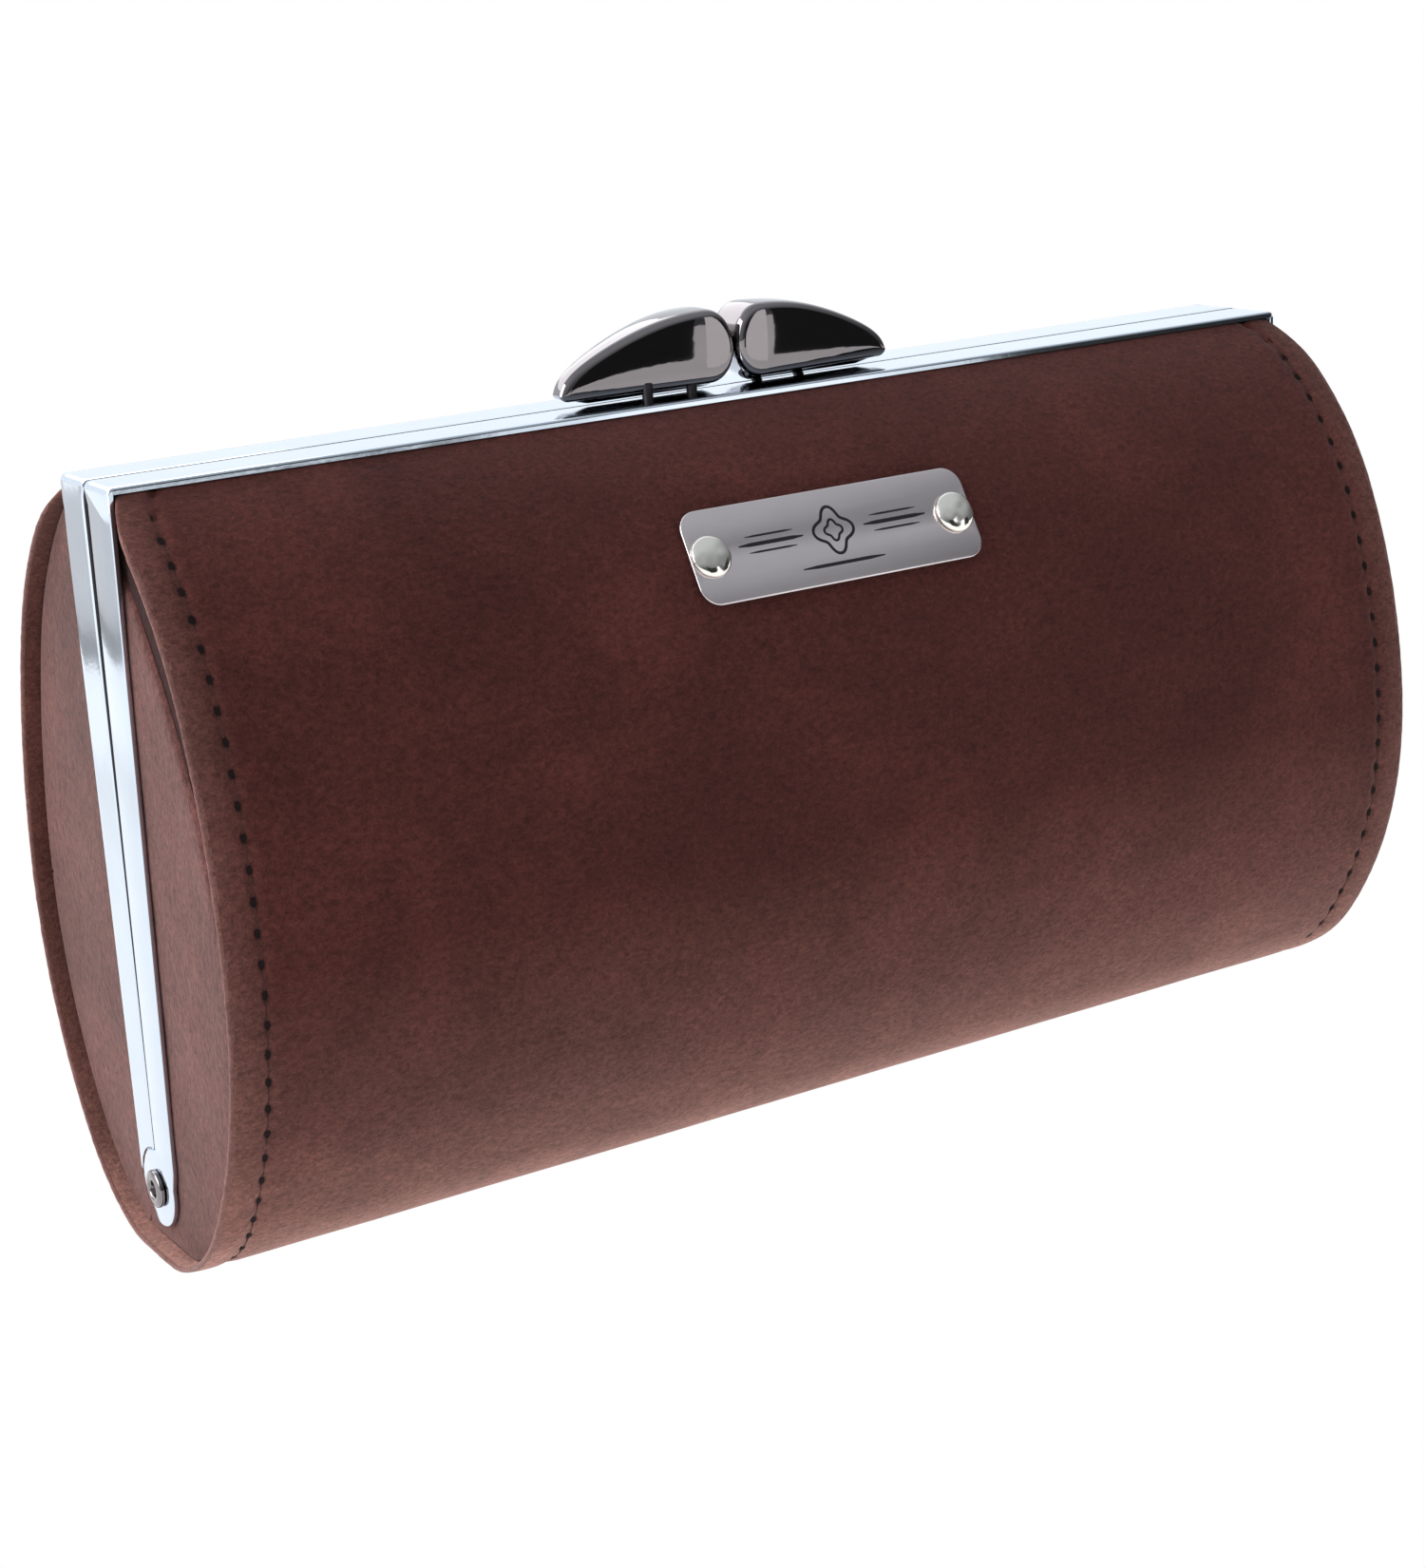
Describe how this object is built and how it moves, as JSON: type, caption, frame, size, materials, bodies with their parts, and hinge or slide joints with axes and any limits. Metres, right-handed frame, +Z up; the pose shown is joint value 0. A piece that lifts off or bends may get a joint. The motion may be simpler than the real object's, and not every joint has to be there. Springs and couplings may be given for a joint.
{
  "type": "jewellery case",
  "caption": "Suede-covered box case for jewellery with a rounded body, a hinged metal frame, a kiss-lock clasp and a small riveted plate.",
  "frame": {"origin": "centre of the flat underside, midway between the two ends and under the hinge axis", "axes": "+X to the right along the case, the front with the plate faces -Y, +Z up"},
  "size_m": [0.2026, 0.0734, 0.1218],
  "materials": {
    "frame_chrome": "polished",
    "gunmetal": "polished black nickel",
    "nameplate_metal": "polished dark nickel",
    "rivet_nickel": "polished",
    "suede": "napped suede",
    "end_suede": "napped suede",
    "thread": "matt thread",
    "board": "matt",
    "lining": "short velvet",
    "padding": "short velvet over foam",
    "pocket_satin": "satin"
  },
  "bodies": {
    "back_half": {"back_frame": "frame_chrome", "left_hinge_eyelet": "gunmetal", "right_hinge_eyelet": "gunmetal", "back_clasp_finger": "gunmetal", "back_clasp_nuts": "gunmetal", "back_shell": "board", "back_left_end_board": "board", "back_right_end_board": "board", "back_suede": "suede", "base_suede": "suede", "back_left_end_suede": "end_suede", "back_right_end_suede": "end_suede", "left_gusset": "end_suede", "right_gusset": "end_suede", "back_stitching": "thread", "base_stitching": "thread", "back_lining": "lining", "base_lining": "lining", "back_pocket": "pocket_satin", "pocket_band": "pocket_satin"},
    "front_half": {"front_frame": "frame_chrome", "front_clasp_finger": "gunmetal", "front_clasp_nuts": "gunmetal", "front_shell": "board", "front_left_end_board": "board", "front_right_end_board": "board", "front_suede": "suede", "front_left_end_suede": "end_suede", "front_right_end_suede": "end_suede", "front_stitching": "thread", "front_lining": "lining", "ring_bank_base": "padding", "centre_divider": "lining", "cross_divider": "lining", "nameplate": "nameplate_metal", "plate_rivets": "rivet_nickel", "plate_washers": "rivet_nickel", "ring_roll_1": "padding", "ring_roll_2": "padding", "ring_roll_3": "padding", "ring_roll_4": "padding", "ring_roll_5": "padding"}
  },
  "joints": [
    {"name": "case_hinge", "type": "hinge", "parent": "back_half", "child": "front_half", "pos_m": [0, 0, 0.01], "axis": [1, 0, 0], "range_deg": [0, 75], "deforming": ["base_suede", "base_lining", "base_stitching", "left_gusset", "right_gusset"]}
  ]
}
